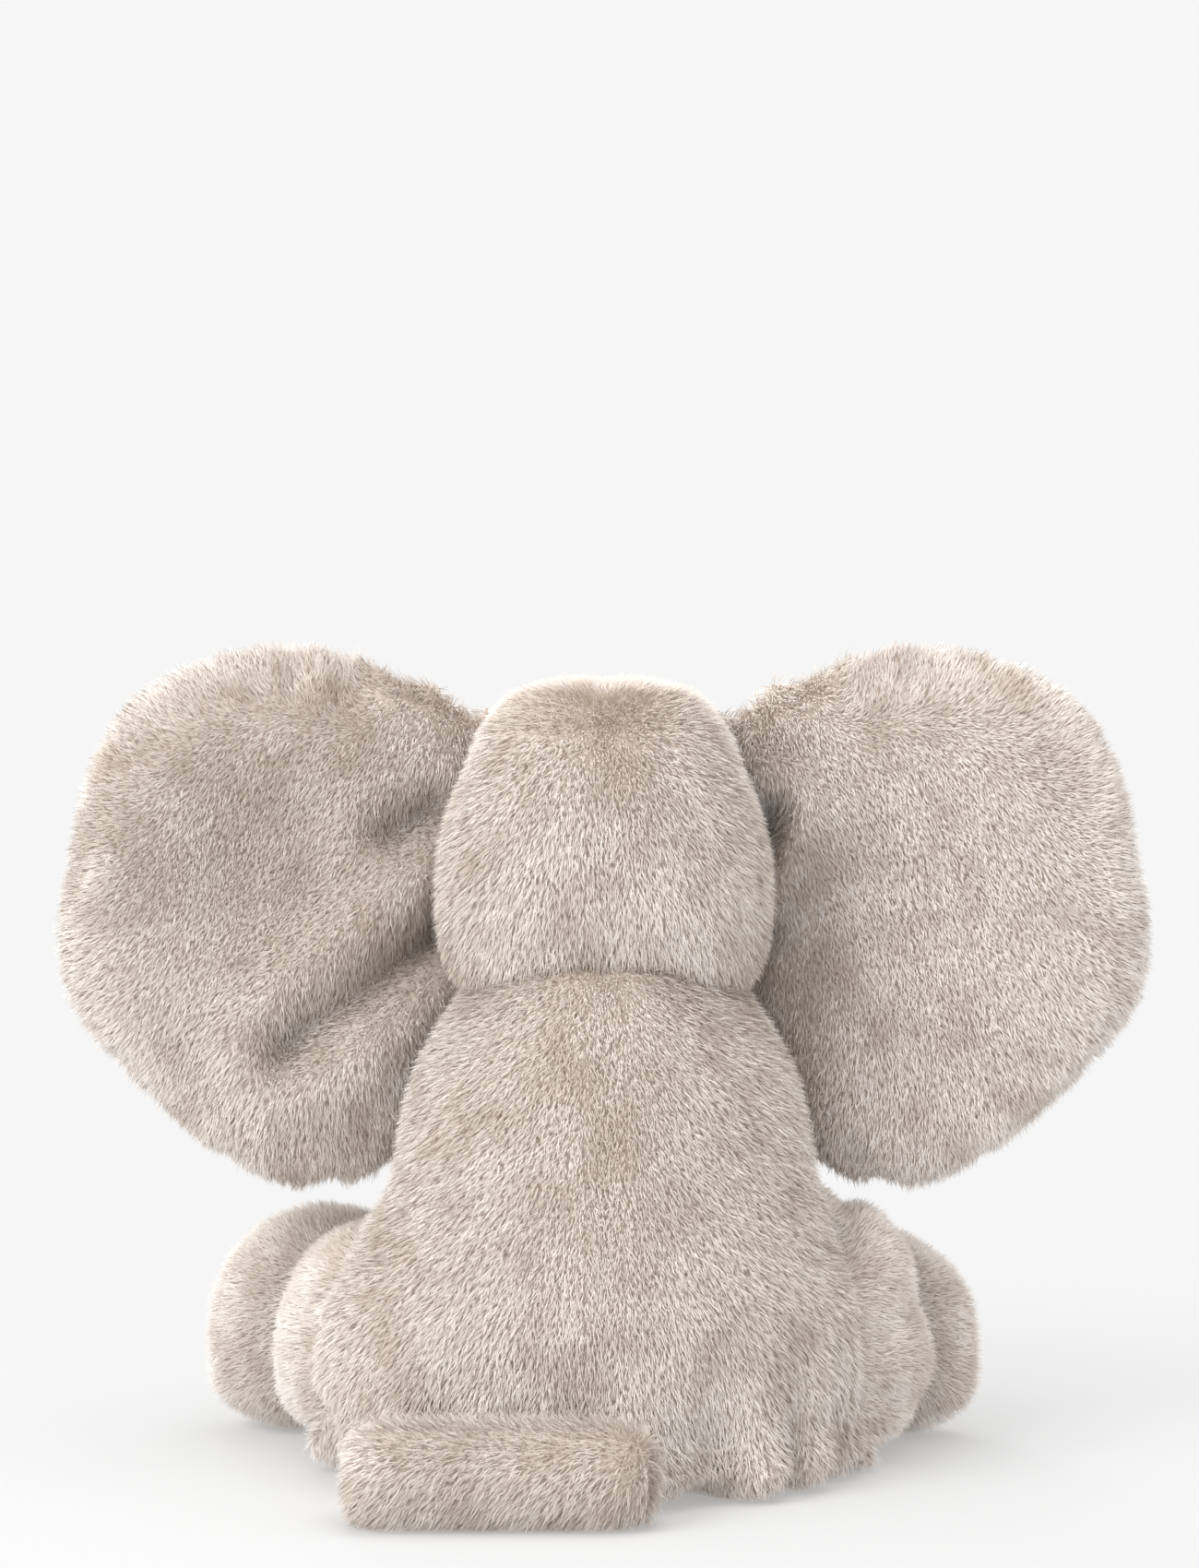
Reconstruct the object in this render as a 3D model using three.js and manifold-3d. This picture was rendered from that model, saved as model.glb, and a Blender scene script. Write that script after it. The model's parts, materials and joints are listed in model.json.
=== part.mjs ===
// A sitting stuffed elephant: plush panels sewn over stuffing, with big flat ears.
// Millimetres, +Z up. It faces -Y, its left side is +X, and it sits on the plane Z = 0.
// The origin is on the flat base, straight under the neck.

import * as THREE from 'three';
import { mergeVertices } from 'three/addons/utils/BufferGeometryUtils.js';
import Module from 'manifold-3d';

const wasm = await Module();
wasm.setup();

// ---------------------------------------------------------------- driving dimensions

const CLOTH = 2.5; // plush backing with the base of its pile
const GAP = 0.3; // between pieces that lie against each other
const SWING_GAP = 1.2; // between a piece and what it swings against

const TORSO = {
  halfWidth: 84,
  height: 176,
  back: 86, // depth behind the neck
  front: 50, // depth in front of the neck
  chest: 1.3, // how much deeper the chest is than the belly, for its width
};
const BASE_THICKNESS = 3;
const POUCH = { halfWidth: 44, halfDepth: 34, height: 22, behind: 12 };

const NECK = {
  below: 10, // how far the neck's centre lies under the top of the torso
  ball: 30,
  headCone: 8, // slopes of the head's underside and the torso's top, in degrees
  torsoCone: 6,
  reach: 90,
};
const HEAD = {
  halfWidth: 54,
  halfDepth: 58,
  halfHeight: 54,
  aboveNeck: 48,
  forward: 12,
  squareness: 3,
};

const EAR = {
  reach: 135.5, // from the hinge to the outer edge
  height: 188,
  belowHead: 119.5, // from the head's centre down to the ear's lowest edge
  halfThickness: 12,
  rootThickness: 0.5, // share of the thickness left at the head
  aheadOfHead: 12, // hinge ahead of the head's centre
  sweep: 12, // degrees that the tip leans back
  flap: 20, // degrees each way
};

const TRUNK = {
  root: 26,
  tip: 14.5,
  length: 120,
  belowHead: 16,
  sunk: 8, // how far the root's centre lies behind the front of the face
};

const EYE = {
  radius: 6.5,
  shank: 2,
  shankLength: 10,
  washer: 6,
  washerThickness: 1.5,
  side: 0.44, // where it sits, as a slope from the head's centre
  up: 0.28,
};

const FRONT_LEG = {
  root: 20.5,
  waist: 19.5,
  paw: 24,
  sole: 21,
  fromSide: 49, // from the torso's widest side in to the leg's axis
  sunk: 1, // how far the shoulder lies behind the front of the belly
  belowNeck: 60,
  lean: 36, // degrees that the leg leans forward
};

const HIND_LEG = {
  root: 36,
  waist: 34,
  foot: 40,
  sole: 34,
  fromSide: 18,
  forward: 5,
  inward: 4, // degrees that it can swing in
};
const HIND_POSE = {
  left: { reach: 84, splay: 31 }, // splay in degrees from straight ahead
  right: { reach: 67, splay: 30 },
};

const TAIL = { radius: 16, length: 84, side: -3 };

const neckHeight = TORSO.height - NECK.below;
const headHeight = neckHeight + HEAD.aboveNeck;
const earBottom = headHeight - EAR.belowHead;

// ---------------------------------------------------------------- materials

function plush(color) {
  return new THREE.MeshStandardMaterial({ color, roughness: 0.95, metalness: 0 });
}

const backPlush = plush('#cdc3b8');
const frontPlush = plush('#c9bfb3');
const earPlush = plush('#cfc6bc');
const solePlush = plush('#c3b8ab');
const fibre = plush('#f2f1ee');
const pouchCloth = plush('#e4dfd4');
const eyePlastic = new THREE.MeshStandardMaterial({ color: '#17130f', roughness: 0.12, metalness: 0 });
const washerPlastic = new THREE.MeshStandardMaterial({ color: '#e9e9e6', roughness: 0.5, metalness: 0 });

// ---------------------------------------------------------------- solids

const object = new THREE.Group();

function signedVolume(geometry) {
  const position = geometry.attributes.position;
  const index = geometry.index.array;
  const corner = [new THREE.Vector3(), new THREE.Vector3(), new THREE.Vector3()];
  let volume = 0;
  for (let i = 0; i < index.length; i += 3) {
    corner.forEach((point, k) => point.fromBufferAttribute(position, index[i + k]));
    volume += corner[0].dot(corner[1].cross(corner[2])) / 6;
  }
  return volume;
}

// A closed three.js geometry as a solid with its faces pointing out.
function solid(geometry) {
  const bare = geometry.clone();
  bare.deleteAttribute('normal');
  bare.deleteAttribute('uv');
  const merged = mergeVertices(bare, 1e-4);
  const triangles = [];
  const index = merged.index.array;
  for (let i = 0; i < index.length; i += 3) {
    const [a, b, c] = [index[i], index[i + 1], index[i + 2]];
    if (a !== b && b !== c && c !== a) triangles.push(a, b, c);
  }
  merged.setIndex(triangles);
  if (signedVolume(merged) < 0) triangles.reverse();
  return new wasm.Manifold(new wasm.Mesh({
    numProp: 3,
    vertProperties: new Float32Array(merged.attributes.position.array),
    triVerts: new Uint32Array(triangles),
  }));
}

function addPiece(name, shape, material) {
  const mesh = shape.getMesh();
  const geometry = new THREE.BufferGeometry();
  geometry.setAttribute('position', new THREE.BufferAttribute(new Float32Array(mesh.vertProperties), 3));
  geometry.setIndex(new THREE.BufferAttribute(new Uint32Array(mesh.triVerts), 1));
  geometry.computeVertexNormals();
  const piece = new THREE.Mesh(geometry, material);
  piece.name = name;
  object.add(piece);
}

function deform(geometry, move) {
  const position = geometry.attributes.position;
  const point = new THREE.Vector3();
  for (let i = 0; i < position.count; i += 1) {
    point.fromBufferAttribute(position, i);
    move(point);
    position.setXYZ(i, point.x, point.y, point.z);
  }
  return geometry;
}

function placed(geometry, { at = [0, 0, 0], turn = null }) {
  const rotation = turn ?? new THREE.Quaternion();
  const matrix = new THREE.Matrix4().compose(new THREE.Vector3(...at), rotation, new THREE.Vector3(1, 1, 1));
  return geometry.applyMatrix4(matrix);
}

function turned(geometry, pivot, axis, degrees) {
  const turn = new THREE.Quaternion().setFromAxisAngle(axis, THREE.MathUtils.degToRad(degrees));
  geometry.translate(-pivot.x, -pivot.y, -pivot.z);
  geometry.applyQuaternion(turn);
  return geometry.translate(pivot.x, pivot.y, pivot.z);
}

// The room that a shape sweeps as it turns about an axis, as a union of a few steps.
function swept(makeGeometry, pivot, axis, angles) {
  return angles
    .map((degrees) => solid(turned(makeGeometry(), pivot, axis, degrees)))
    .reduce((room, step) => room.add(step));
}

function ball(radius, at, across = 14, up = 8) {
  return solid(placed(new THREE.SphereGeometry(radius, across, up), { at }));
}

// The room for a ball that turns: grown until its flat facets clear the ball.
function roomBall(radius, at, across = 14, up = 8) {
  const facets = Math.cos(Math.PI / across) * Math.cos(Math.PI / (2 * up));
  return ball((radius + SWING_GAP) / facets, at, across, up);
}

// A block that fills everything on one side of a plane: `from` and `to` are opposite corners.
function block(from, to) {
  const size = to.map((value, k) => value - from[k]);
  const middle = to.map((value, k) => (value + from[k]) / 2);
  return solid(placed(new THREE.BoxGeometry(...size), { at: middle }));
}

const FAR = 400;
const half = GAP / 2;
const radians = THREE.MathUtils.degToRad;
const X = new THREE.Vector3(1, 0, 0);
const Y = new THREE.Vector3(0, 1, 0);
const Z = new THREE.Vector3(0, 0, 1);

// A profile is a list of [radius, distance along the axis]. This returns the stretch between two distances.
function stretch(profile, from, to) {
  const radiusAt = (distance) => {
    const next = Math.max(1, profile.findIndex(([, s]) => s >= distance));
    const [[r0, s0], [r1, s1]] = [profile[next - 1], profile[next]];
    return r0 + ((r1 - r0) * (distance - s0)) / (s1 - s0);
  };
  const inside = profile.filter(([, s]) => s > from + half && s < to - half);
  return [[radiusAt(from), from], ...inside, [radiusAt(to), to]];
}

const asVectors = (points) => points.map(([r, s]) => new THREE.Vector2(r, s));

// A cloth tube, open at both ends, that follows a profile.
function sleeve(profile, from, to, segments) {
  const outer = stretch(profile, from, to);
  const inner = outer.map(([r, s]) => [r - CLOTH, s]).reverse();
  return new THREE.LatheGeometry(asVectors([...outer, ...inner, outer[0]]), segments);
}

// A closed core that follows a profile, smaller all round by `inset`.
function core(profile, from, to, inset, segments) {
  const outer = stretch(profile, from, to).map(([r, s]) => [r - inset, s]);
  return new THREE.LatheGeometry(asVectors([[0, from], ...outer, [0, to]]), segments);
}

function hemisphere(radius, steps = 3) {
  return Array.from({ length: steps }, (_, k) => {
    const angle = (Math.PI / 2) * (1 - k / steps);
    return [Math.max(radius * Math.cos(angle), 0), -radius * Math.sin(angle)];
  });
}

// ---------------------------------------------------------------- torso

// Share of the half width, at each share of the height.
const TORSO_PROFILE = [
  [0.74, 0], [0.91, 0.06], [1, 0.23], [0.95, 0.41], [0.84, 0.57], [0.71, 0.74], [0.57, 0.87], [0.34, 0.97],
];

function torsoForm(inset) {
  const curve = new THREE.SplineCurve(asVectors(TORSO_PROFILE));
  const side = curve.getPoints(8).map((share) => new THREE.Vector2(
    share.x * TORSO.halfWidth - inset,
    inset + share.y * (TORSO.height - 2 * inset),
  ));
  const ends = [new THREE.Vector2(0, inset), new THREE.Vector2(0, TORSO.height - inset)];
  const form = new THREE.LatheGeometry([ends[0], ...side, ends[1]], 20).rotateX(Math.PI / 2);
  return deform(form, (point) => {
    const upward = point.z / TORSO.height;
    const belly = (TORSO.front / TORSO.halfWidth) * (1 + (TORSO.chest - 1) * upward);
    point.y *= point.y < 0 ? belly : TORSO.back / TORSO.halfWidth;
  });
}

const neckPoint = new THREE.Vector3(0, 0, neckHeight);

function neckCone(degrees, thickness) {
  const rise = NECK.reach * Math.tan(radians(degrees));
  const profile = [[0, 0], [NECK.reach, rise], [NECK.reach, thickness], [0, thickness]];
  const cone = new THREE.LatheGeometry(asVectors(profile), 16).rotateX(Math.PI / 2);
  return solid(placed(cone, { at: neckPoint.toArray() }));
}

function addTorso(limbRoom) {
  const room = limbRoom
    .add(roomBall(NECK.ball, neckPoint.toArray()))
    .add(neckCone(-NECK.torsoCone, NECK.ball + CLOTH));
  const skin = solid(torsoForm(0)).subtract(solid(torsoForm(CLOTH)));
  const wall = skin.subtract(room);
  const aboveBase = BASE_THICKNESS + GAP;
  const backLeft = block([half, half, aboveBase], [FAR, FAR, FAR]);
  const backRight = block([-FAR, half, aboveBase], [-half, FAR, FAR]);
  const front = block([-FAR, -FAR, aboveBase], [FAR, -half, FAR]);
  addPiece('back_left_panel', wall.intersect(backLeft), backPlush);
  addPiece('back_right_panel', wall.intersect(backRight), backPlush);
  addPiece('belly_panel', wall.intersect(front), frontPlush);

  const underside = block([-FAR, -FAR, 0], [FAR, FAR, BASE_THICKNESS]);
  addPiece('base_panel', solid(torsoForm(0)).intersect(underside).subtract(room), frontPlush);

  const pouch = (grow) => solid(placed(
    new THREE.SphereGeometry(1, 14, 8).scale(
      POUCH.halfWidth + grow, POUCH.halfDepth + grow, POUCH.height + grow,
    ),
    { at: [0, POUCH.behind, aboveBase] },
  ));
  const aboveGap = block([-FAR, -FAR, aboveBase], [FAR, FAR, FAR]);
  addPiece('pellet_pouch', pouch(0).intersect(aboveGap), pouchCloth);
  const filling = solid(torsoForm(CLOTH + GAP)).subtract(room).intersect(aboveGap);
  addPiece('body_fill', filling.subtract(pouch(GAP)), fibre);
  addPiece('neck_plug', ball(NECK.ball, neckPoint.toArray()), fibre);
}

// ---------------------------------------------------------------- head

const headCentre = new THREE.Vector3(0, -HEAD.forward, headHeight);
const headSize = new THREE.Vector3(HEAD.halfWidth, HEAD.halfDepth, HEAD.halfHeight);

// Moves a direction from the head's centre out to the surface of a softly squared ball.
function toHeadSurface(point, inset) {
  const size = headSize.clone().subScalar(inset);
  const power = HEAD.squareness;
  const sum = ['x', 'y', 'z'].reduce((total, k) => total + Math.abs(point[k] / size[k]) ** power, 0);
  return point.multiplyScalar(sum ** (-1 / power));
}

function headForm(inset) {
  const form = new THREE.SphereGeometry(1, 20, 10).rotateX(Math.PI / 2);
  deform(form, (point) => toHeadSurface(point, inset));
  return placed(form, { at: headCentre.toArray() });
}

// The flat washer stands this far off the hollow side of the cloth, and the dome half as far off its front.
const eyeStand = EYE.washer ** 2 / (0.3 * Math.min(...headSize.toArray()));

function eyeFrame(side) {
  const point = toHeadSurface(new THREE.Vector3(side * EYE.side, -1, EYE.up), 0);
  const outward = new THREE.Vector3(
    point.x * Math.abs(point.x) / headSize.x ** 3,
    point.y * Math.abs(point.y) / headSize.y ** 3,
    point.z * Math.abs(point.z) / headSize.z ** 3,
  ).normalize();
  const turn = new THREE.Quaternion().setFromUnitVectors(Y, outward);
  return { at: point.add(headCentre).toArray(), turn };
}

// A round solid on the eye's axis, from a profile of [radius, distance out of the face].
function eyeTurning(side, profile, segments = 12) {
  return solid(placed(new THREE.LatheGeometry(asVectors(profile), segments), eyeFrame(side)));
}

function addEye(side, name) {
  const seat = eyeStand * 0.5;
  const dome = [[EYE.radius, seat], [EYE.radius * 0.87, seat + EYE.radius * 0.4]];
  const top = [[EYE.radius * 0.5, seat + EYE.radius * 0.62], [0, seat + EYE.radius * 0.7]];
  const shank = [[0, -EYE.shankLength], [EYE.shank, -EYE.shankLength], [EYE.shank, seat]];
  addPiece(`eye_${name}`, eyeTurning(side, [...shank, ...dome, ...top]), eyePlastic);
  const near = -CLOTH - eyeStand;
  const far = near - EYE.washerThickness;
  const bore = EYE.shank + GAP;
  const washer = [[bore, far], [EYE.washer, far], [EYE.washer, near], [bore, near], [bore, far]];
  addPiece(`eye_washer_${name}`, eyeTurning(side, washer), washerPlastic);
}

function eyeRoom(side) {
  const shank = EYE.shank + GAP;
  const washer = EYE.washer + GAP;
  const deep = -CLOTH - eyeStand - EYE.washerThickness - GAP;
  const washerTop = 0;
  return {
    panel: eyeTurning(side, [[0, -CLOTH * 2], [shank, -CLOTH * 2], [shank, 2], [0, 2]]),
    fill: eyeTurning(side, [
      [0, -EYE.shankLength - 1], [shank, -EYE.shankLength - 1], [shank, deep],
      [washer, deep], [washer, washerTop], [0, washerTop],
    ]),
  };
}

function addHead() {
  const trunkRoot = roomBall(TRUNK.root, trunkPivot.toArray());
  const room = roomBall(NECK.ball, neckPoint.toArray())
    .add(neckCone(NECK.headCone, -NECK.ball - CLOTH))
    .add(trunkRoot);
  const eyes = [eyeRoom(1), eyeRoom(-1)];
  const wall = solid(headForm(0)).subtract(solid(headForm(CLOTH))).subtract(room);
  const seam = headCentre.y - EAR.aheadOfHead;
  const backLeft = block([half, seam + half, 0], [FAR, FAR, FAR]);
  const backRight = block([-FAR, seam + half, 0], [-half, FAR, FAR]);
  const front = block([-FAR, -FAR, 0], [FAR, seam - half, FAR]);
  addPiece('head_back_left', wall.intersect(backLeft), backPlush);
  addPiece('head_back_right', wall.intersect(backRight), backPlush);
  const face = wall.intersect(front).subtract(eyes[0].panel).subtract(eyes[1].panel);
  addPiece('face_panel', face, frontPlush);
  const filling = solid(headForm(CLOTH + GAP)).subtract(room);
  addPiece('head_fill', filling.subtract(eyes[0].fill).subtract(eyes[1].fill), fibre);
  addEye(1, 'left');
  addEye(-1, 'right');
}

// ---------------------------------------------------------------- ears

// Corners of the ear as [share of the reach, share of the height], joined by a smooth closed curve.
const EAR_OUTLINE = [
  [0.01, 0.57], [-0.08, 0.86], [0.19, 0.96], [0.44, 1], [0.69, 0.97], [0.9, 0.8], [1, 0.55],
  [0.93, 0.27], [0.69, 0.08], [0.42, 0], [0.18, 0.01], [0.08, 0.14], [-0.035, 0.34],
];

const earHinge = (side) => new THREE.Vector3(
  side * (HEAD.halfWidth + SWING_GAP),
  headCentre.y - EAR.aheadOfHead,
  earBottom + EAR.height / 2,
);

function earForm(side, inset) {
  const corners = EAR_OUTLINE.map(([u, v]) => new THREE.Vector3(u * EAR.reach, 0, v * EAR.height));
  const outline = new THREE.CatmullRomCurve3(corners, true);
  const centre = new THREE.Vector3(0.48 * EAR.reach, 0, 0.52 * EAR.height);
  const form = new THREE.SphereGeometry(1, 24, 6);
  deform(form, (point) => {
    const across = Math.min(1, Math.hypot(point.x, point.z));
    const share = (Math.atan2(point.z, point.x) / (2 * Math.PI) + 1) % 1;
    const edge = outline.getPoint(share).sub(centre);
    edge.setLength(edge.length() - inset).multiplyScalar(across).add(centre);
    const towardsTip = THREE.MathUtils.clamp(edge.x / (0.4 * EAR.reach), 0, 1);
    const fullness = THREE.MathUtils.lerp(EAR.rootThickness, 1, towardsTip);
    const depth = Math.sign(point.y) * Math.abs(point.y) ** 0.8 * (EAR.halfThickness * fullness - inset);
    point.set(edge.x, depth, edge.z);
  });
  turned(form, new THREE.Vector3(), Z, EAR.sweep);
  if (side < 0) form.scale(-1, 1, 1);
  const hinge = earHinge(side);
  return form.translate(hinge.x, hinge.y, earBottom);
}

function addEar(side, name) {
  const hinge = earHinge(side);
  const steps = [-1, -0.5, 0, 0.5, 1].map((share) => share * EAR.flap);
  const headRoom = swept(() => headForm(-SWING_GAP), hinge, Z, steps);
  const shell = solid(earForm(side, 0)).subtract(solid(earForm(side, CLOTH))).subtract(headRoom);
  const behind = block([-FAR, 0, -FAR], [FAR, FAR, FAR]);
  const ahead = block([-FAR, -FAR, -FAR], [FAR, 0, FAR]);
  const midPlane = (blockSolid, shift) => blockSolid
    .translate([0, shift, 0])
    .rotate([0, 0, side * EAR.sweep])
    .translate([hinge.x, hinge.y, 0]);
  addPiece(`ear_${name}_back`, shell.intersect(midPlane(behind, half)), earPlush);
  addPiece(`ear_${name}_front`, shell.intersect(midPlane(ahead, -half)), earPlush);
  const batting = solid(earForm(side, CLOTH + GAP)).subtract(headRoom);
  addPiece(`ear_${name}_batting`, batting, fibre);
}

// ---------------------------------------------------------------- trunk

const trunkPivot = new THREE.Vector3(
  0,
  -HEAD.forward - HEAD.halfDepth + TRUNK.sunk,
  headHeight - TRUNK.belowHead,
);

const trunkCurve = new THREE.CatmullRomCurve3(
  [[0, 0], [0.25, -0.15], [0.43, -0.38], [0.52, -0.63], [0.66, -0.76]].map(
    ([ahead, up]) => new THREE.Vector3(0, -ahead * TRUNK.length, up * TRUNK.length).add(trunkPivot),
  ),
);

function trunkProfile() {
  const length = trunkCurve.getLength();
  const taper = [0, 0.25, 0.5, 0.75, 0.93].map((share) => [
    THREE.MathUtils.lerp(TRUNK.root, TRUNK.tip, Math.sqrt(share)),
    share * length,
  ]);
  return [...hemisphere(TRUNK.root), ...taper, [TRUNK.tip * 0.75, length]];
}

// Bends a straight shape, built along +Y, so that it follows the trunk.
function alongTrunk(shape) {
  const length = trunkCurve.getLength();
  const pieceMesh = shape.getMesh();
  const geometry = new THREE.BufferGeometry();
  const flat = new Float32Array(pieceMesh.vertProperties);
  geometry.setAttribute('position', new THREE.BufferAttribute(flat, 3));
  geometry.setIndex(new THREE.BufferAttribute(new Uint32Array(pieceMesh.triVerts), 1));
  deform(geometry, (point) => {
    const share = THREE.MathUtils.clamp(point.y / length, 0, 1);
    const middle = trunkCurve.getPointAt(share);
    const tangent = trunkCurve.getTangentAt(share);
    const upward = new THREE.Vector3().crossVectors(tangent, X).negate();
    const beyond = point.y - share * length;
    const offset = new THREE.Vector3(point.x, 0, 0)
      .addScaledVector(upward, point.z)
      .addScaledVector(tangent, beyond);
    point.copy(middle.add(offset));
  });
  return solid(geometry);
}

function addTrunk() {
  const profile = trunkProfile();
  const end = profile[profile.length - 1][1];
  const start = -TRUNK.root * 0.5;
  const tipWall = end - CLOTH;
  const outer = solid(core(profile, start, end, 0, LEG_SEGMENTS));
  const inner = solid(core(profile, start - CLOTH, tipWall, CLOTH, LEG_SEGMENTS));
  const shell = outer.subtract(inner);
  const upper = block([-FAR, -FAR, half], [FAR, FAR, FAR]);
  const under = block([-FAR, -FAR, -FAR], [FAR, FAR, -half]);
  addPiece('trunk_upper', alongTrunk(shell.intersect(upper)), frontPlush);
  addPiece('trunk_under', alongTrunk(shell.intersect(under)), frontPlush);
  const filling = solid(core(profile, start, tipWall - GAP, CLOTH + GAP, LEG_SEGMENTS));
  addPiece('trunk_fill', alongTrunk(filling), fibre);
}

// ---------------------------------------------------------------- legs

// A leg's profile from its rounded root to its flat sole.
function legProfile({ root, waist, end, sole, reach }) {
  return [
    ...hemisphere(root),
    [root, 0],
    [waist, reach * 0.45],
    [end * 0.97, reach * 0.74],
    [end, reach * 0.87],
    [sole + (end - sole) * 0.6, reach * 0.96],
    [sole, reach],
  ];
}

const LEG_SEGMENTS = 14;

// One leg: a sleeve of plush, a sole pad and a core of stuffing, from a pivot along a direction.
function addLeg(name, leg) {
  const profile = legProfile(leg);
  const frame = {
    at: leg.pivot.toArray(),
    turn: new THREE.Quaternion().setFromUnitVectors(Y, leg.direction),
  };
  const start = -leg.root * 0.7;
  const seam = leg.reach - CLOTH;
  const skin = sleeve(profile, start, seam - GAP, LEG_SEGMENTS);
  const sole = core(profile, seam, leg.reach, 0, LEG_SEGMENTS);
  const filling = core(profile, start, seam - GAP, CLOTH + GAP, LEG_SEGMENTS);
  addPiece(`${name}_skin`, solid(placed(skin, frame)), backPlush);
  addPiece(`${name}_sole`, solid(placed(sole, frame)), solePlush);
  addPiece(`${name}_fill`, solid(placed(filling, frame)), fibre);
}

// The room that a leg needs in the torso, from rest to its nearest swing: a plain rounded tube.
function legRoom(leg) {
  const segments = 8;
  const facets = 1 / Math.cos(Math.PI / segments);
  const radius = (leg.root + SWING_GAP) * facets;
  const beyond = (leg.end + SWING_GAP) * facets;
  const profile = [...hemisphere(radius), [radius, 0], [beyond, leg.reach * 0.7], [beyond, leg.reach]];
  const make = () => placed(
    core(profile, -radius, leg.reach, 0, segments),
    { at: leg.pivot.toArray(), turn: new THREE.Quaternion().setFromUnitVectors(Y, leg.direction) },
  );
  return swept(make, leg.pivot, leg.axis, leg.swings);
}

// The front paws just reach the floor with the near edge of the sole.
function frontLeg(side) {
  const lean = radians(FRONT_LEG.lean);
  const height = neckHeight - FRONT_LEG.belowNeck;
  const reach = (height - Math.sin(lean) * FRONT_LEG.sole) / Math.cos(lean);
  const out = side * (TORSO.halfWidth - FRONT_LEG.fromSide);
  return {
    root: FRONT_LEG.root,
    waist: FRONT_LEG.waist,
    end: FRONT_LEG.paw,
    sole: FRONT_LEG.sole,
    reach,
    pivot: new THREE.Vector3(out, FRONT_LEG.sunk - TORSO.front, height),
    direction: new THREE.Vector3(0, -Math.sin(lean), -Math.cos(lean)),
    axis: X,
    swings: [0],
  };
}

// The hind legs lie on the floor, so their axis is as high as the foot's radius.
function hindLeg(side, { reach, splay }) {
  const angle = radians(splay);
  const out = side * (TORSO.halfWidth - HIND_LEG.fromSide);
  return {
    root: HIND_LEG.root,
    waist: HIND_LEG.waist,
    end: HIND_LEG.foot,
    sole: HIND_LEG.sole,
    reach,
    pivot: new THREE.Vector3(out, -HIND_LEG.forward, HIND_LEG.foot),
    direction: new THREE.Vector3(side * Math.sin(angle), -Math.cos(angle), 0),
    axis: Z,
    swings: [-side * HIND_LEG.inward, 0],
  };
}

// ---------------------------------------------------------------- tail

function tailProfile() {
  const { radius, length } = TAIL;
  return [
    ...hemisphere(radius),
    [radius, 0],
    [radius, length * 0.5],
    [radius, length * 0.85],
    [radius * 0.9, length * 0.96],
    [radius * 0.62, length],
  ];
}

function torsoBackAt(height) {
  const curve = new THREE.SplineCurve(asVectors(TORSO_PROFILE));
  const widest = curve.getPoints(60).filter((share) => share.y * TORSO.height <= height);
  return Math.max(...widest.map((share) => share.x)) * TORSO.back;
}

function addTail() {
  const profile = tailProfile();
  const behind = torsoBackAt(1.4 * TAIL.radius) + TAIL.radius + SWING_GAP;
  const frame = {
    at: [TAIL.side, behind, TAIL.radius],
    turn: new THREE.Quaternion().setFromUnitVectors(Y, X),
  };
  const start = -TAIL.radius * 0.75;
  const outer = solid(placed(core(profile, start, TAIL.length, 0, LEG_SEGMENTS), frame));
  const hollow = core(profile, start - CLOTH, TAIL.length - CLOTH, CLOTH, LEG_SEGMENTS);
  addPiece('tail_skin', outer.subtract(solid(placed(hollow, frame))), backPlush);
  const filling = core(profile, start, TAIL.length - CLOTH - GAP, CLOTH + GAP, LEG_SEGMENTS);
  addPiece('tail_fill', solid(placed(filling, frame)), fibre);
}

// ---------------------------------------------------------------- assembly

const legs = {
  front_leg_left: frontLeg(1),
  front_leg_right: frontLeg(-1),
  hind_leg_left: hindLeg(1, HIND_POSE.left),
  hind_leg_right: hindLeg(-1, HIND_POSE.right),
};

addTorso(Object.values(legs).map(legRoom).reduce((room, leg) => room.add(leg)));
addHead();
addEar(1, 'left');
addEar(-1, 'right');
addTrunk();
for (const [name, leg] of Object.entries(legs)) addLeg(name, leg);
addTail();

export default object;
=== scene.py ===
import json
import math

import bmesh
import bpy
import numpy as np
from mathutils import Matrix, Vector
from mathutils.bvhtree import BVHTree


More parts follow.
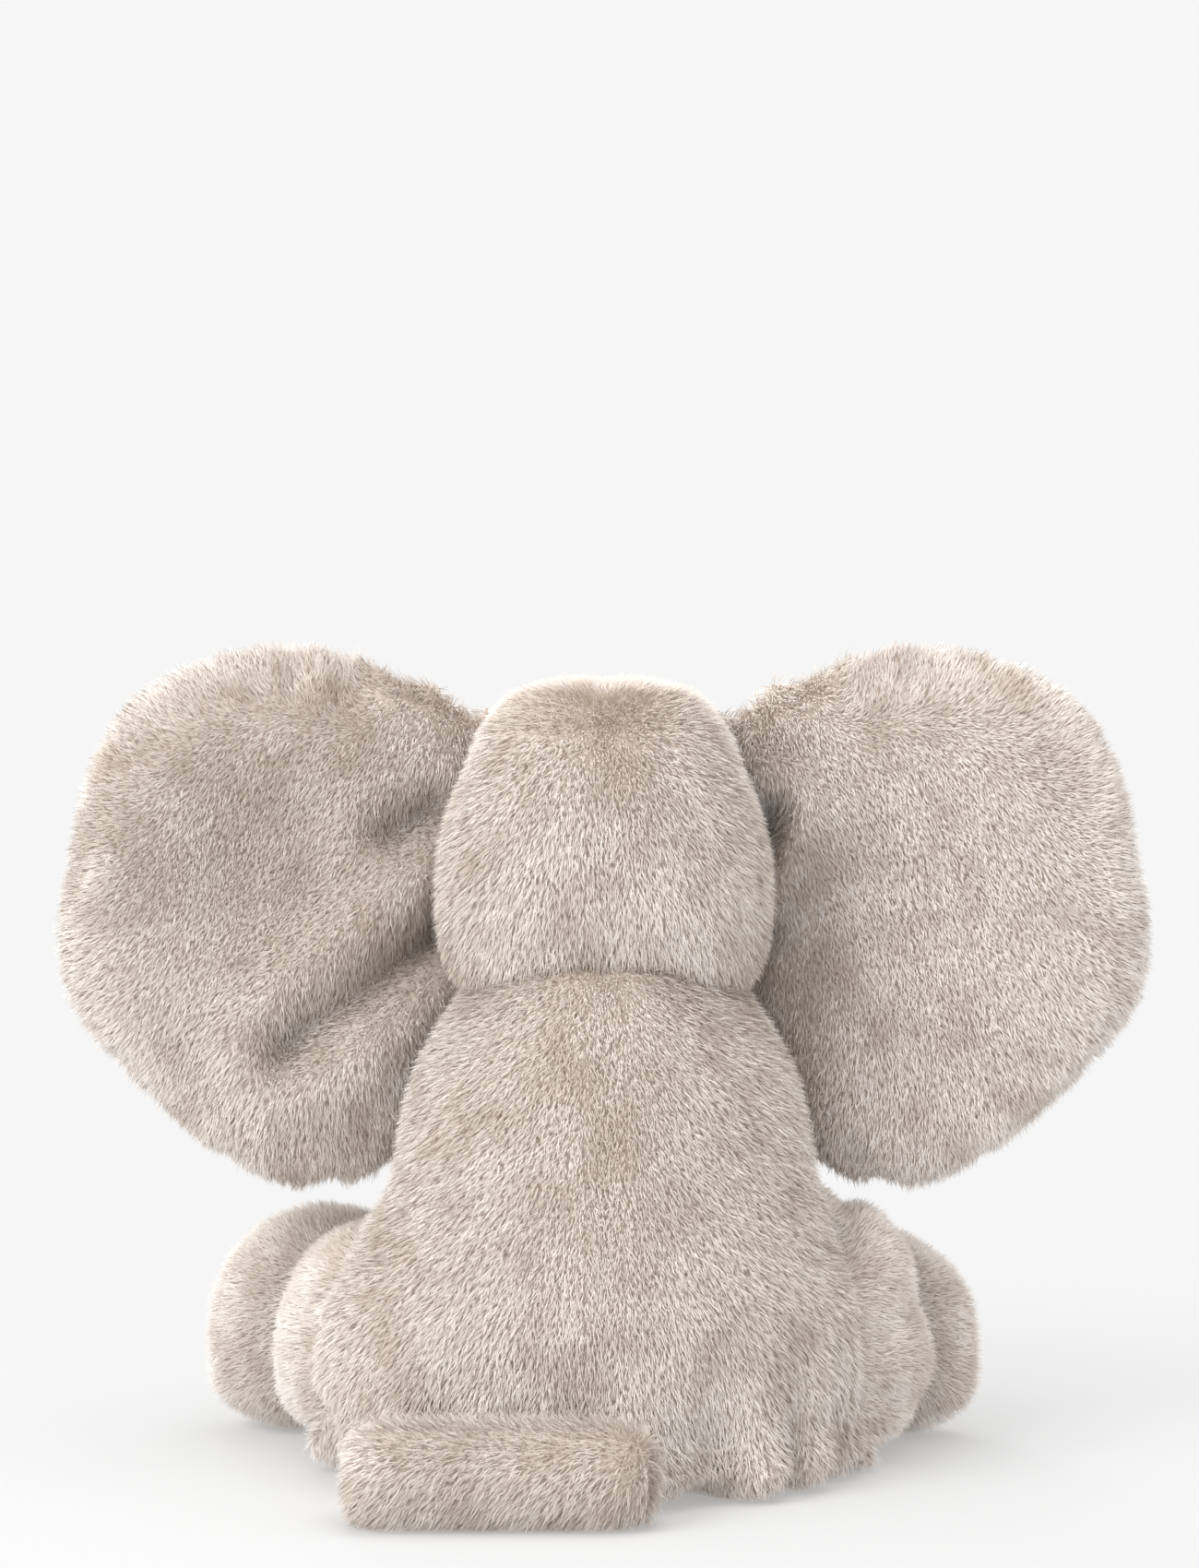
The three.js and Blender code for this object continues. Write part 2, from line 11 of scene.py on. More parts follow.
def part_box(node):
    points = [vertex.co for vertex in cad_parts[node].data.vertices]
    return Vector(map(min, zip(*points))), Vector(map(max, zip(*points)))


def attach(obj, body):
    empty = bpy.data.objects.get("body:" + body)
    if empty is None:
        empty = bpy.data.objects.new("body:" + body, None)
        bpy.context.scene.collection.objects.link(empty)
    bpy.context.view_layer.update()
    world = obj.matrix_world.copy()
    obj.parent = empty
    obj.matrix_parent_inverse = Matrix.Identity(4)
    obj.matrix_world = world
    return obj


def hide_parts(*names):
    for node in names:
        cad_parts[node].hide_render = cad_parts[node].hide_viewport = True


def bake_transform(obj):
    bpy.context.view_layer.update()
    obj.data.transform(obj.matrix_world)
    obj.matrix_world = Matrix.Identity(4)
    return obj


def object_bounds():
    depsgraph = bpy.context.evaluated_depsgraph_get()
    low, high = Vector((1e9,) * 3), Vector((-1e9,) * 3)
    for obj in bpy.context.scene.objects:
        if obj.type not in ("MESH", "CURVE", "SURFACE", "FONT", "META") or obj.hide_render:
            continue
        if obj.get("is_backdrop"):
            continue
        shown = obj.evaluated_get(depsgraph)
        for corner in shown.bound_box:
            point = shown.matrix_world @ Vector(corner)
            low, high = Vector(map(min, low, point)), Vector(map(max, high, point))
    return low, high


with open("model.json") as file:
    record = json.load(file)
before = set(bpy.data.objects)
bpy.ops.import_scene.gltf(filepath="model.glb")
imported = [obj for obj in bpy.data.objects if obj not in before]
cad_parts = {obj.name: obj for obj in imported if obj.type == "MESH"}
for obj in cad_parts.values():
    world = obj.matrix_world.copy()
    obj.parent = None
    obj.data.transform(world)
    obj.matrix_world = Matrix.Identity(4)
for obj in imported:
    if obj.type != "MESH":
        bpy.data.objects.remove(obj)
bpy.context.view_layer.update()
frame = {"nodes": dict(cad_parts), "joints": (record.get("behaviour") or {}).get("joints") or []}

# Every length is in metres.

# The skins and the run that stuffs them.
VOXEL = 0.0042
SIM_FRAMES = 16
PRESSURE = 4.0
MOST_SWELL = 0.004
CLOTH_STIFFNESS = 12
FLOOR_GAP = 0.0004

# The pile.
PILE = 0.0056
STRAND_WIDTH = 0.00037
STRANDS_PER_AREA = 2.0e6

# The torso: how far the neck rises, and how far the parts of its outline spread.
NECK_RISE = 0.012
SHOULDER_SPREAD = 0.05
CHEST_SPREAD = 0.10
HIP_SPREAD = {"left": 0.032, "right": 0.015}
SEAT_SPREAD = 0.2
SEAM_DEPTH = 0.0016
GATHERS = 17
GATHER_DEPTH = 0.009

# The head: how much wider than the pattern it is stuffed, at shares of its height.
HEAD_LEVELS = [-0.05, 0, 0.06, 0.13, 0.26, 0.39, 0.54, 0.72, 0.86, 0.96, 1.05]
HEAD_WIDTHS = [1.12, 1.08, 1.06, 1.07, 1.055, 1.03, 0.97, 0.87, 0.87, 0.91, 0.96]
JOWL_DROP = 0.008
JOWL_SIDE = 0.047
HEAD_SEAM_DEPTH = 0.0012

# The ears: share that the stuffing adds, and share of the reach that is tucked behind the head.
EAR_SWELL = 0.045
EAR_TUCK = 0.085
TUCK_LEVELS = [0, 0.12, 0.25, 0.45, 0.6, 0.8, 1]
TUCK_SHARES = [0.3, 0.75, 1, 1, 0.9, 0.9, 0.7]
# Shares across and up the ear, width, depth: a hollow in the back of the ear.
EAR_DENTS = {
    "left": [(0.47, 0.62, 0.034, 0.008), (0.13, 0.69, 0.014, 0.006), (0.3, 0.2, 0.03, -0.006)],
    "right": [(0.25, 0.45, 0.05, 0.004), (0.12, 0.2, 0.03, 0.004), (0.6, 0.3, 0.04, -0.003)],
}
# A path of shares across and up the ear, width, depth: a fold in the back of the ear.
EAR_FOLDS = {
    "left": [
        (((0.02, 0.52), (0.14, 0.45), (0.26, 0.38), (0.4, 0.28)), 0.008, 0.010),
        (((0.1, 0.72), (0.2, 0.66)), 0.006, 0.004),
    ],
    "right": [(((0.0, 0.58), (0.06, 0.66), (0.09, 0.7)), 0.006, 0.006)],
}

# The hind legs. A thigh fold is its slope in degrees and its depth.
THIGH_LENGTH = {"left": 0.043, "right": 0.036}
THIGH_FOLDS = {"left": [(20, 0.003)], "right": [(65, 0.006), (15, 0.005), (-30, 0.004)]}
THIGH_SWELL = {"left": 0.003, "right": 0.006}
THIGH_LIFT = {"left": 0.004, "right": 0.016}
PAW_DROP = {"left": 0.003, "right": 0.009}
KNEE_PINCH = 0.0075
FOOT_FLARE = 0.36

# The light of the studio.
PALE = 0.921
FLOOR_WHITE = 0.64

JOINTS = {joint["name"]: joint for joint in frame["joints"]}


def joint_place(name):
    return np.array(JOINTS[name]["pos_m"], float)


# ---------------------------------------------------------------- mesh helpers


def places(mesh):
    out = np.empty(len(mesh.vertices) * 3, np.float32)
    mesh.vertices.foreach_get("co", out)
    return out.reshape(-1, 3).astype(float)


def set_places(mesh, co):
    mesh.vertices.foreach_set("co", co.astype(np.float32).ravel())
    mesh.update()


def normals(mesh):
    out = np.empty(len(mesh.vertices) * 3, np.float32)
    mesh.vertices.foreach_get("normal", out)
    return out.reshape(-1, 3).astype(float)


def edge_pairs(mesh):
    out = np.empty(len(mesh.edges) * 2, np.int32)
    mesh.edges.foreach_get("vertices", out)
    return out.reshape(-1, 2)


def unit(vectors):
    size = np.linalg.norm(vectors, axis=-1, keepdims=True)
    return vectors / np.maximum(size, 1e-9)


def neighbour_mean(co, pairs, count):
    total = np.zeros_like(co)
    np.add.at(total, pairs[:, 0], co[pairs[:, 1]])
    np.add.at(total, pairs[:, 1], co[pairs[:, 0]])
    return total / np.maximum(count, 1)[:, None]


def smoothed(mesh, rounds, shrink=0.5, grow=-0.52):
    """Takes the facets off and keeps the size."""
    pairs = edge_pairs(mesh)
    co = places(mesh)
    count = np.bincount(pairs.ravel(), minlength=len(co))
    for _ in range(rounds):
        for step in (shrink, grow):
            co = co + step * (neighbour_mean(co, pairs, count) - co)
    set_places(mesh, co)


def biggest_shell(mesh):
    """Drops the inner walls that the remesh leaves round a hollow."""
    bm = bmesh.new()
    bm.from_mesh(mesh)
    left = set(bm.verts)
    shells = []
    while left:
        shell = set()
        edge = {left.pop()}
        while edge:
            shell |= edge
            edge = {e.other_vert(v) for v in edge for e in v.link_edges} & left
            left -= edge
        shells.append(shell)
    keep = max(shells, key=len)
    drop = [v for v in bm.verts if v not in keep]
    bmesh.ops.delete(bm, geom=drop, context="VERTS")
    bm.to_mesh(mesh)
    bm.free()


def joined(name, nodes):
    bm = bmesh.new()
    for node in nodes:
        bm.from_mesh(frame["nodes"][node].data)
    bmesh.ops.remove_doubles(bm, verts=bm.verts, dist=1e-6)
    mesh = bpy.data.meshes.new(name)
    bm.to_mesh(mesh)
    bm.free()
    obj = bpy.data.objects.new(name, mesh)
    bpy.context.scene.collection.objects.link(obj)
    return obj


def settled(obj):
    """The object with its modifiers worked into its mesh."""
    graph = bpy.context.evaluated_depsgraph_get()
    mesh = bpy.data.meshes.new_from_object(obj.evaluated_get(graph))
    obj.modifiers.clear()
    old = obj.data
    obj.data = mesh
    bpy.data.meshes.remove(old)
    mesh.name = obj.name
    return obj


def soft_form(name, nodes, rounds=6, voxel=VOXEL):
    obj = joined(name, nodes)
    remesh = obj.modifiers.new("remesh", "REMESH")
    remesh.mode = "VOXEL"
    remesh.voxel_size = voxel
    settled(obj)
    biggest_shell(obj.data)
    smoothed(obj.data, rounds)
    return obj


def bump(distance, width):
    """1 at the middle, falling softly to 0 about two widths away."""
    return np.exp(-((distance / width) ** 2))


def path_distance(co, path):
    """How far each point is from a bent line."""
    best = np.full(len(co), 1e9)
    for a, b in zip(path[:-1], path[1:]):
        a = np.array(a, float)
        d = np.array(b, float) - a
        t = np.clip(((co - a) @ d) / (d @ d), 0, 1)
        gap = np.linalg.norm(co - a - t[:, None] * d, axis=1)
        best = np.minimum(best, gap)
    return best


# ------------------------------------------------------------------ soft forms


def stuff(forms):
    """Blows every skin out from its stuffing, by no more than the cap."""
    starts = {}
    for obj in forms:
        starts[obj.name] = places(obj.data)
        cloth = obj.modifiers.new("stuffing", "CLOTH")
        cloth.settings.quality = 4
        cloth.settings.use_pressure = True
        cloth.settings.uniform_pressure_force = PRESSURE
        cloth.settings.effector_weights.gravity = 0
        cloth.settings.tension_stiffness = CLOTH_STIFFNESS
        cloth.settings.compression_stiffness = CLOTH_STIFFNESS
        cloth.point_cache.frame_start = 1
        cloth.point_cache.frame_end = SIM_FRAMES
    for step in range(1, SIM_FRAMES + 1):
        bpy.context.scene.frame_set(step)
    graph = bpy.context.evaluated_depsgraph_get()
    for obj in forms:
        mesh = bpy.data.meshes.new_from_object(obj.evaluated_get(graph))
        start = starts[obj.name]
        move = places(mesh) - start
        bpy.data.meshes.remove(mesh)
        obj.modifiers.clear()
        size = np.linalg.norm(move, axis=1, keepdims=True)
        move = move * np.minimum(1, MOST_SWELL / np.maximum(size, 1e-9))
        set_places(obj.data, start + move)
    bpy.context.scene.frame_set(1)


def spans(low, high, points):
    """Places given as shares of a box."""
    low, high = np.array(low), np.array(high)
    return [low + (high - low) * np.array(point) for point in points]


def eased(value):
    t = np.clip(value, 0, 1)
    return t * t * (3 - 2 * t)


def shape_torso(co, normal):
    """Raises the shoulders into the head and lets the seat sag and spread."""
    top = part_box("body_fill")[1].z
    neck = eased((co[:, 2] - (top - 0.02)) / 0.02)
    co = co.copy()
    co[:, 2] += NECK_RISE * neck
    shoulder = bump(co[:, 2] - (top - 0.014), 0.014) * SHOULDER_SPREAD
    co[:, :2] *= (1 + shoulder)[:, None]
    chest = bump(co[:, 2] - 0.132, 0.026) * CHEST_SPREAD
    co[:, 0] *= 1 + chest
    behind = eased((co[:, 1] + 0.03) / 0.04)
    wide = np.where(co[:, 0] > 0, HIP_SPREAD["left"], -HIP_SPREAD["right"])
    side = np.clip(np.abs(co[:, 0]) / 0.08, 0, 1) ** 2
    co[:, 0] += bump(co[:, 2] - 0.034, 0.035) * behind * side * wide
    seat = bump(co[:, 2] - 0.004, 0.016) * SEAT_SPREAD
    co[:, :2] *= (1 + seat)[:, None]
    return co


def shape_head(co, normal):
    """A head with six soft corners seen from behind: narrow at the crown, full at the cheeks."""
    low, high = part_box("head_fill")
    share = (co[:, 2] - low.z) / (high.z - low.z)
    width = np.interp(share, HEAD_LEVELS, HEAD_WIDTHS)
    co = co.copy()
    sideways = np.clip(np.abs(co[:, 0]) * width / JOWL_SIDE, 0, 1.1) ** 2
    low_side = eased((0.45 - share) / 0.4) * sideways
    co[:, 2] -= low_side * JOWL_DROP
    co[:, 0] *= width
    crown = eased((share - 0.75) / 0.3)
    co[:, 1] = co[:, 1] * (1 - 0.1 * crown)
    return co


def rounded_outline(co, middle, orders=5):
    """Takes the corners out of a flat part's outline, seen along Y."""
    flat = (co - middle)[:, [0, 2]]
    angle = np.arctan2(flat[:, 1], flat[:, 0])
    radius = np.linalg.norm(flat, axis=1)
    bins = 96
    place = ((angle + math.pi) / (2 * math.pi) * bins).astype(int) % bins
    edge = np.zeros(bins)
    np.maximum.at(edge, place, radius)
    centres = (np.arange(bins) + 0.5) / bins * 2 * math.pi - math.pi

    def waves(a):
        rows = [np.ones_like(a)]
        for order in range(1, orders + 1):
            rows += [np.cos(order * a), np.sin(order * a)]
        return np.stack(rows, 1)

    fit = np.linalg.lstsq(waves(centres), edge, rcond=None)[0]
    raw = np.interp(angle, centres, edge, period=2 * math.pi)
    ratio = (waves(angle) @ fit) / raw
    out = co.copy()
    out[:, [0, 2]] = (middle[[0, 2]]) + flat * ratio[:, None]
    return out


def shape_ear(side):
    hinge = joint_place(f"ear_{side}_flap")
    low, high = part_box(f"ear_{side}_batting")
    outer = high.x if side == "left" else low.x

    def spot(across, up):
        return np.array([hinge[0] + (outer - hinge[0]) * across, 0, low.z + (high.z - low.z) * up])

    def shape(co, normal):
        flat = co * [1, 0, 1]
        back = np.clip(normal[:, 1], 0, 1)
        middle = spot(0.48, 0.52)
        outside = eased(((co[:, 0] - hinge[0]) / (outer - hinge[0]) - 0.12) / 0.3)[:, None]
        moved = co + (rounded_outline(co, middle) - co) * outside
        reach = outer - hinge[0]
        share = (co[:, 0] - hinge[0]) / reach
        level = (co[:, 2] - low.z) / (high.z - low.z)
        low_outer = eased((0.4 - level) / 0.3) * eased((share - 0.35) / 0.3)
        swell = EAR_SWELL * (1 - 1.4 * low_outer)[:, None]
        moved[:, [0, 2]] += (co - middle)[:, [0, 2]] * swell
        inner = eased((0.45 - share) / 0.4) * np.interp(level, TUCK_LEVELS, TUCK_SHARES)
        moved[:, 0] -= inner * reach * EAR_TUCK
        for across, up, wide, deep in EAR_DENTS[side]:
            away = np.linalg.norm(flat - spot(across, up), axis=1)
            moved[:, 1] -= bump(away, wide) * deep
        for path, wide, deep in EAR_FOLDS[side]:
            points = [spot(*point) for point in path]
            away = path_distance(flat, points)
            valley = bump(away, wide) - 0.45 * bump(away - 2.2 * wide, 1.2 * wide)
            moved[:, 1] -= valley * deep * back
        return moved

    return shape


def shape_hind_leg(side):
    root = joint_place(f"hind_leg_{side}_splay")
    low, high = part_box(f"hind_leg_{side}_sole")
    way = unit((np.array(low) + np.array(high)) / 2 * [1, 1, 0] - root * [1, 1, 0])
    sign = 1 if side == "left" else -1

    def shape(co, normal):
        along = (co - root) @ way
        thigh = bump(along - 0.012, 0.026)
        knee = bump(along - THIGH_LENGTH[side], 0.008)
        out = normal.copy()
        out[:, 2] *= 0.4
        moved = co + out * (thigh * THIGH_SWELL[side] - knee * KNEE_PINCH)[:, None]
        outer = np.clip(normal[:, 0] * sign, 0, 1)
        for angle, deep in THIGH_FOLDS[side]:
            line = (co[:, 2] - root[2]) - math.tan(math.radians(angle)) * (co[:, 0] - root[0]) * sign
            fold = bump(line * math.cos(math.radians(angle)), 0.006)
            moved = moved - normal * (fold * thigh * deep)[:, None]
        across = co - root - along[:, None] * way
        across[:, 2] = 0
        foot = bump(co[:, 2] - 0.006, 0.018) * FOOT_FLARE
        moved = moved + across * foot[:, None]
        upper = eased((co[:, 2] - root[2]) / 0.035)
        moved[:, 2] += upper * bump(along - 0.008, 0.026) * THIGH_LIFT[side]
        top = eased((co[:, 2] - root[2]) / 0.04) * eased((along - 0.03) / 0.03)
        moved[:, 2] -= top * PAW_DROP[side]
        return moved

    return shape


SHAPES = {
    "torso": shape_torso,
    "head": shape_head,
    "ear_left": shape_ear("left"),
    "ear_right": shape_ear("right"),
    "hind_leg_left": shape_hind_leg("left"),
    "hind_leg_right": shape_hind_leg("right"),
}


def torso_creases(co, normal):
    """The back seam, and gathers round the seat."""
    away = np.abs(co[:, 0]) + (co[:, 1] < 0) * 1.0
    co = co - normal * (bump(away, 0.004) * SEAM_DEPTH)[:, None]
    angle = np.arctan2(co[:, 1], co[:, 0])
    low = bump(co[:, 2] - 0.006, 0.028)
    gathers = (0.5 + 0.5 * np.sin(angle * GATHERS + np.sin(angle * 5) * 2.0)) ** 2
    return co - normal * (low * gathers * GATHER_DEPTH)[:, None]


def head_creases(co, normal):
    away = np.abs(co[:, 0]) + (co[:, 1] < -0.03) * 1.0
    return co - normal * (bump(away, 0.004) * HEAD_SEAM_DEPTH)[:, None]


CREASES = {"torso": torso_creases, "head": head_creases}


def reshape(skin, change):
    """Works a change into a skin and keeps it on the floor."""
    co = change(places(skin.data), normals(skin.data))
    co[:, 2] = np.maximum(co[:, 2], FLOOR_GAP)
    set_places(skin.data, co)


def make_forms():
    forms = {}
    forms["torso"] = soft_form(
        "torso_skin",
        ["back_left_panel", "back_right_panel", "belly_panel", "base_panel", "body_fill"],
    )
    forms["head"] = soft_form(
        "head_skin", ["head_back_left", "head_back_right", "face_panel", "head_fill"]
    )
    forms["trunk"] = soft_form("trunk_skin", ["trunk_upper", "trunk_under", "trunk_fill"])
    forms["tail"] = soft_form("tail_cover", ["tail_skin", "tail_fill"])
    for side in ("left", "right"):
        ear = f"ear_{side}"
        forms[ear] = soft_form(
            f"{ear}_skin", [f"{ear}_back", f"{ear}_front", f"{ear}_batting"]
        )
        for leg in ("front", "hind"):
            name = f"{leg}_leg_{side}"
            forms[name] = soft_form(
                f"{name}_cover", [f"{name}_skin", f"{name}_sole", f"{name}_fill"]
            )
    return forms


# ------------------------------------------------------------------- materials


class Maker:
    """Short calls for one node tree."""

    def __init__(self, tree):
        self.tree = tree

    def node(self, kind, **props):
        made = self.tree.nodes.new(kind)
        for key, value in props.items():
            setattr(made, key, value)
        return made

    def link(self, a, b):
        self.tree.links.new(a, b)


def material(name):
    mat = bpy.data.materials.new(name)
    mat.use_nodes = True
    mat.node_tree.nodes.clear()
    make = Maker(mat.node_tree)
    shader = make.node("ShaderNodeBsdfPrincipled")
    out = make.node("ShaderNodeOutputMaterial")
    make.link(shader.outputs["BSDF"], out.inputs["Surface"])
    return mat, make, shader


def attribute(make, name):
    return make.node("ShaderNodeAttribute", attribute_name=name).outputs["Fac"]


def ramp(make, source, stops):
    node = make.node("ShaderNodeValToRGB")
    while len(node.color_ramp.elements) < len(stops):
        node.color_ramp.elements.new(0.5)
    for element, (at, colour) in zip(node.color_ramp.elements, stops):
        element.position = at
        element.color = (*colour, 1)
    make.link(source, node.inputs["Fac"])
    return node.outputs["Color"]


def mixed(make, factor, a, b, blend="MIX"):
    node = make.node("ShaderNodeMix", data_type="RGBA", blend_type=blend)
    for value, socket in ((factor, node.inputs[0]), (a, node.inputs[6]), (b, node.inputs[7])):
        if isinstance(value, bpy.types.NodeSocket):
            make.link(value, socket)
        elif isinstance(value, tuple):
            socket.default_value = (*value, 1)
        else:
            socket.default_value = value
    return node.outputs[2]


def noise(make, scale, detail=2.0, stretch=(1, 1, 1)):
    where = make.node("ShaderNodeTexCoord")
    mapping = make.node("ShaderNodeMapping")
    mapping.inputs["Scale"].default_value = stretch
    make.link(where.outputs["Object"], mapping.inputs["Vector"])
    node = make.node("ShaderNodeTexNoise")
    node.inputs["Scale"].default_value = scale
    node.inputs["Detail"].default_value = detail
    make.link(mapping.outputs["Vector"], node.inputs["Vector"])
    return node.outputs["Fac"]


def mapped(make, source, low, high, to_low=0.0, to_high=1.0):
    node = make.node("ShaderNodeMapRange")
    for key, value in (("From Min", low), ("From Max", high)):
        node.inputs[key].default_value = value
    for key, value in (("To Min", to_low), ("To Max", to_high)):
        node.inputs[key].default_value = value
    make.link(source, node.inputs["Value"])
    return node.outputs["Result"]


def pile_material(name, root, middle, tip, brown):
    """Plush pile: dark at the root, pale at the tip, with browner strands here and there; the shade
    attribute adds browner root where the pile parts, and painted shade.
    """
    mat, make, shader = material(name)
    strand = ramp(make, attribute(make, "along"), [(0, root), (0.5, middle), (1, tip)])
    dark_strand = mapped(make, attribute(make, "tone"), 0.45, 1, 0, 0.45)
    colour = mixed(make, dark_strand, strand, brown)
    patch = mapped(make, noise(make, 50, 3), 0.45, 0.68, 0, 0.78)
    colour = mixed(make, patch, colour, brown)
    speck = mapped(make, noise(make, 130, 2), 0.5, 0.7, 0, 0.34)
    colour = mixed(make, speck, colour, brown)
    # Browner root where the pile parts, and painted shade on the crown top and in the left ear's
    # hollow, from the shade attribute.
    parting_and_painted_shade = mapped(make, attribute(make, "shade"), 0, 1, 0, 0.75)
    colour = mixed(make, parting_and_painted_shade, colour, brown)
    cool = mapped(make, noise(make, 18, 1), 0.4, 0.65, 0, 0.12)
    colour = mixed(make, cool, colour, (0.72, 0.71, 0.73))
    make.link(colour, shader.inputs["Base Color"])
    shader.inputs["Roughness"].default_value = 0.62
    shader.inputs["Specular IOR Level"].default_value = 0.2
    shader.inputs["Sheen Weight"].default_value = 0.1
    shader.inputs["Sheen Roughness"].default_value = 0.4
    return mat


def backing_material(name, dark, light):
    """The knitted cloth that the pile is rooted in."""
    mat, make, shader = material(name)
    colour = ramp(make, noise(make, 300, 2), [(0.3, dark), (0.7, light)])
    make.link(colour, shader.inputs["Base Color"])
    shader.inputs["Roughness"].default_value = 0.9
    bump_node = make.node("ShaderNodeBump")
    bump_node.inputs["Strength"].default_value = 0.4
    bump_node.inputs["Distance"].default_value = 0.0006
    make.link(noise(make, 900, 2), bump_node.inputs["Height"])
    make.link(bump_node.outputs["Normal"], shader.inputs["Normal"])
    return mat


def pouch_material():
    """Plain-woven cotton: warp and weft threads crossing."""
    mat, make, shader = material("pouch_cotton")
    warp = noise(make, 90, 1, (1, 22, 22))
    weft = noise(make, 90, 1, (22, 1, 22))
    weave = mixed(make, 0.5, warp, weft)
    colour = ramp(make, weave, [(0.35, (0.62, 0.56, 0.48)), (0.65, (0.82, 0.77, 0.69))])
    make.link(colour, shader.inputs["Base Color"])
    shader.inputs["Roughness"].default_value = 0.85
    bump_node = make.node("ShaderNodeBump")
    bump_node.inputs["Strength"].default_value = 0.5
    bump_node.inputs["Distance"].default_value = 0.0004
    make.link(weave, bump_node.inputs["Height"])
    make.link(bump_node.outputs["Normal"], shader.inputs["Normal"])
    return mat


def eye_material():
    """Glossy moulded plastic, brown-black, with faint moulding marks."""
    mat, make, shader = material("eye_gloss")
    colour = ramp(
        make, noise(make, 260, 3), [(0.35, (0.012, 0.008, 0.006)), (0.7, (0.035, 0.02, 0.012))]
    )
    make.link(colour, shader.inputs["Base Color"])
    rough = mapped(make, noise(make, 500, 2), 0.3, 0.7, 0.06, 0.14)
    make.link(rough, shader.inputs["Roughness"])
    shader.inputs["Coat Weight"].default_value = 0.6
    return mat


def washer_material():
    mat, make, shader = material("washer_plastic_white")
    colour = ramp(make, noise(make, 200, 2), [(0.3, (0.7, 0.7, 0.68)), (0.7, (0.8, 0.8, 0.78))])
    make.link(colour, shader.inputs["Base Color"])
    shader.inputs["Roughness"].default_value = 0.45
    return mat


def fibre_material():
    """Loose polyester stuffing."""
    mat, make, shader = material("fibre_stuffing")
    colour = ramp(make, noise(make, 120, 5), [(0.3, (0.72, 0.72, 0.7)), (0.7, (0.9, 0.9, 0.88))])
    make.link(colour, shader.inputs["Base Color"])
    shader.inputs["Roughness"].default_value = 1.0
    shader.inputs["Sheen Weight"].default_value = 0.4
    bump_node = make.node("ShaderNodeBump")
    bump_node.inputs["Strength"].default_value = 0.8
    bump_node.inputs["Distance"].default_value = 0.002
    make.link(noise(make, 220, 6), bump_node.inputs["Height"])
    make.link(bump_node.outputs["Normal"], shader.inputs["Normal"])
    return mat


# ------------------------------------------------------------------------ pile


def strand_form():
    """One strand: a narrow blade, one unit long, that droops at its tip."""
    verts = [(0, -0.5, -0.06), (0, 0.5, -0.06), (0.03, -0.4, 0.5), (0.03, 0.4, 0.5), (-0.16, 0, 1)]
    mesh = bpy.data.meshes.new("strand_form")
    mesh.from_pydata(verts, [], [(0, 1, 3, 2), (2, 3, 4)])
    along = mesh.attributes.new("along", "FLOAT", "POINT")
    along.data.foreach_set("value", [0, 0, 0.5, 0.5, 1])
    obj = bpy.data.objects.new("strand_form", mesh)
    bpy.context.scene.collection.objects.link(obj)
    return obj


STRAND_VERTS = 5
# Where each corner of a strand lies in its own cell of the bake layout.
STRAND_CELL = [(0.1, 0.1), (0.9, 0.1), (0.8, 0.5), (0.2, 0.5), (0.2, 0.5), (0.8, 0.5), (0.5, 0.9)]


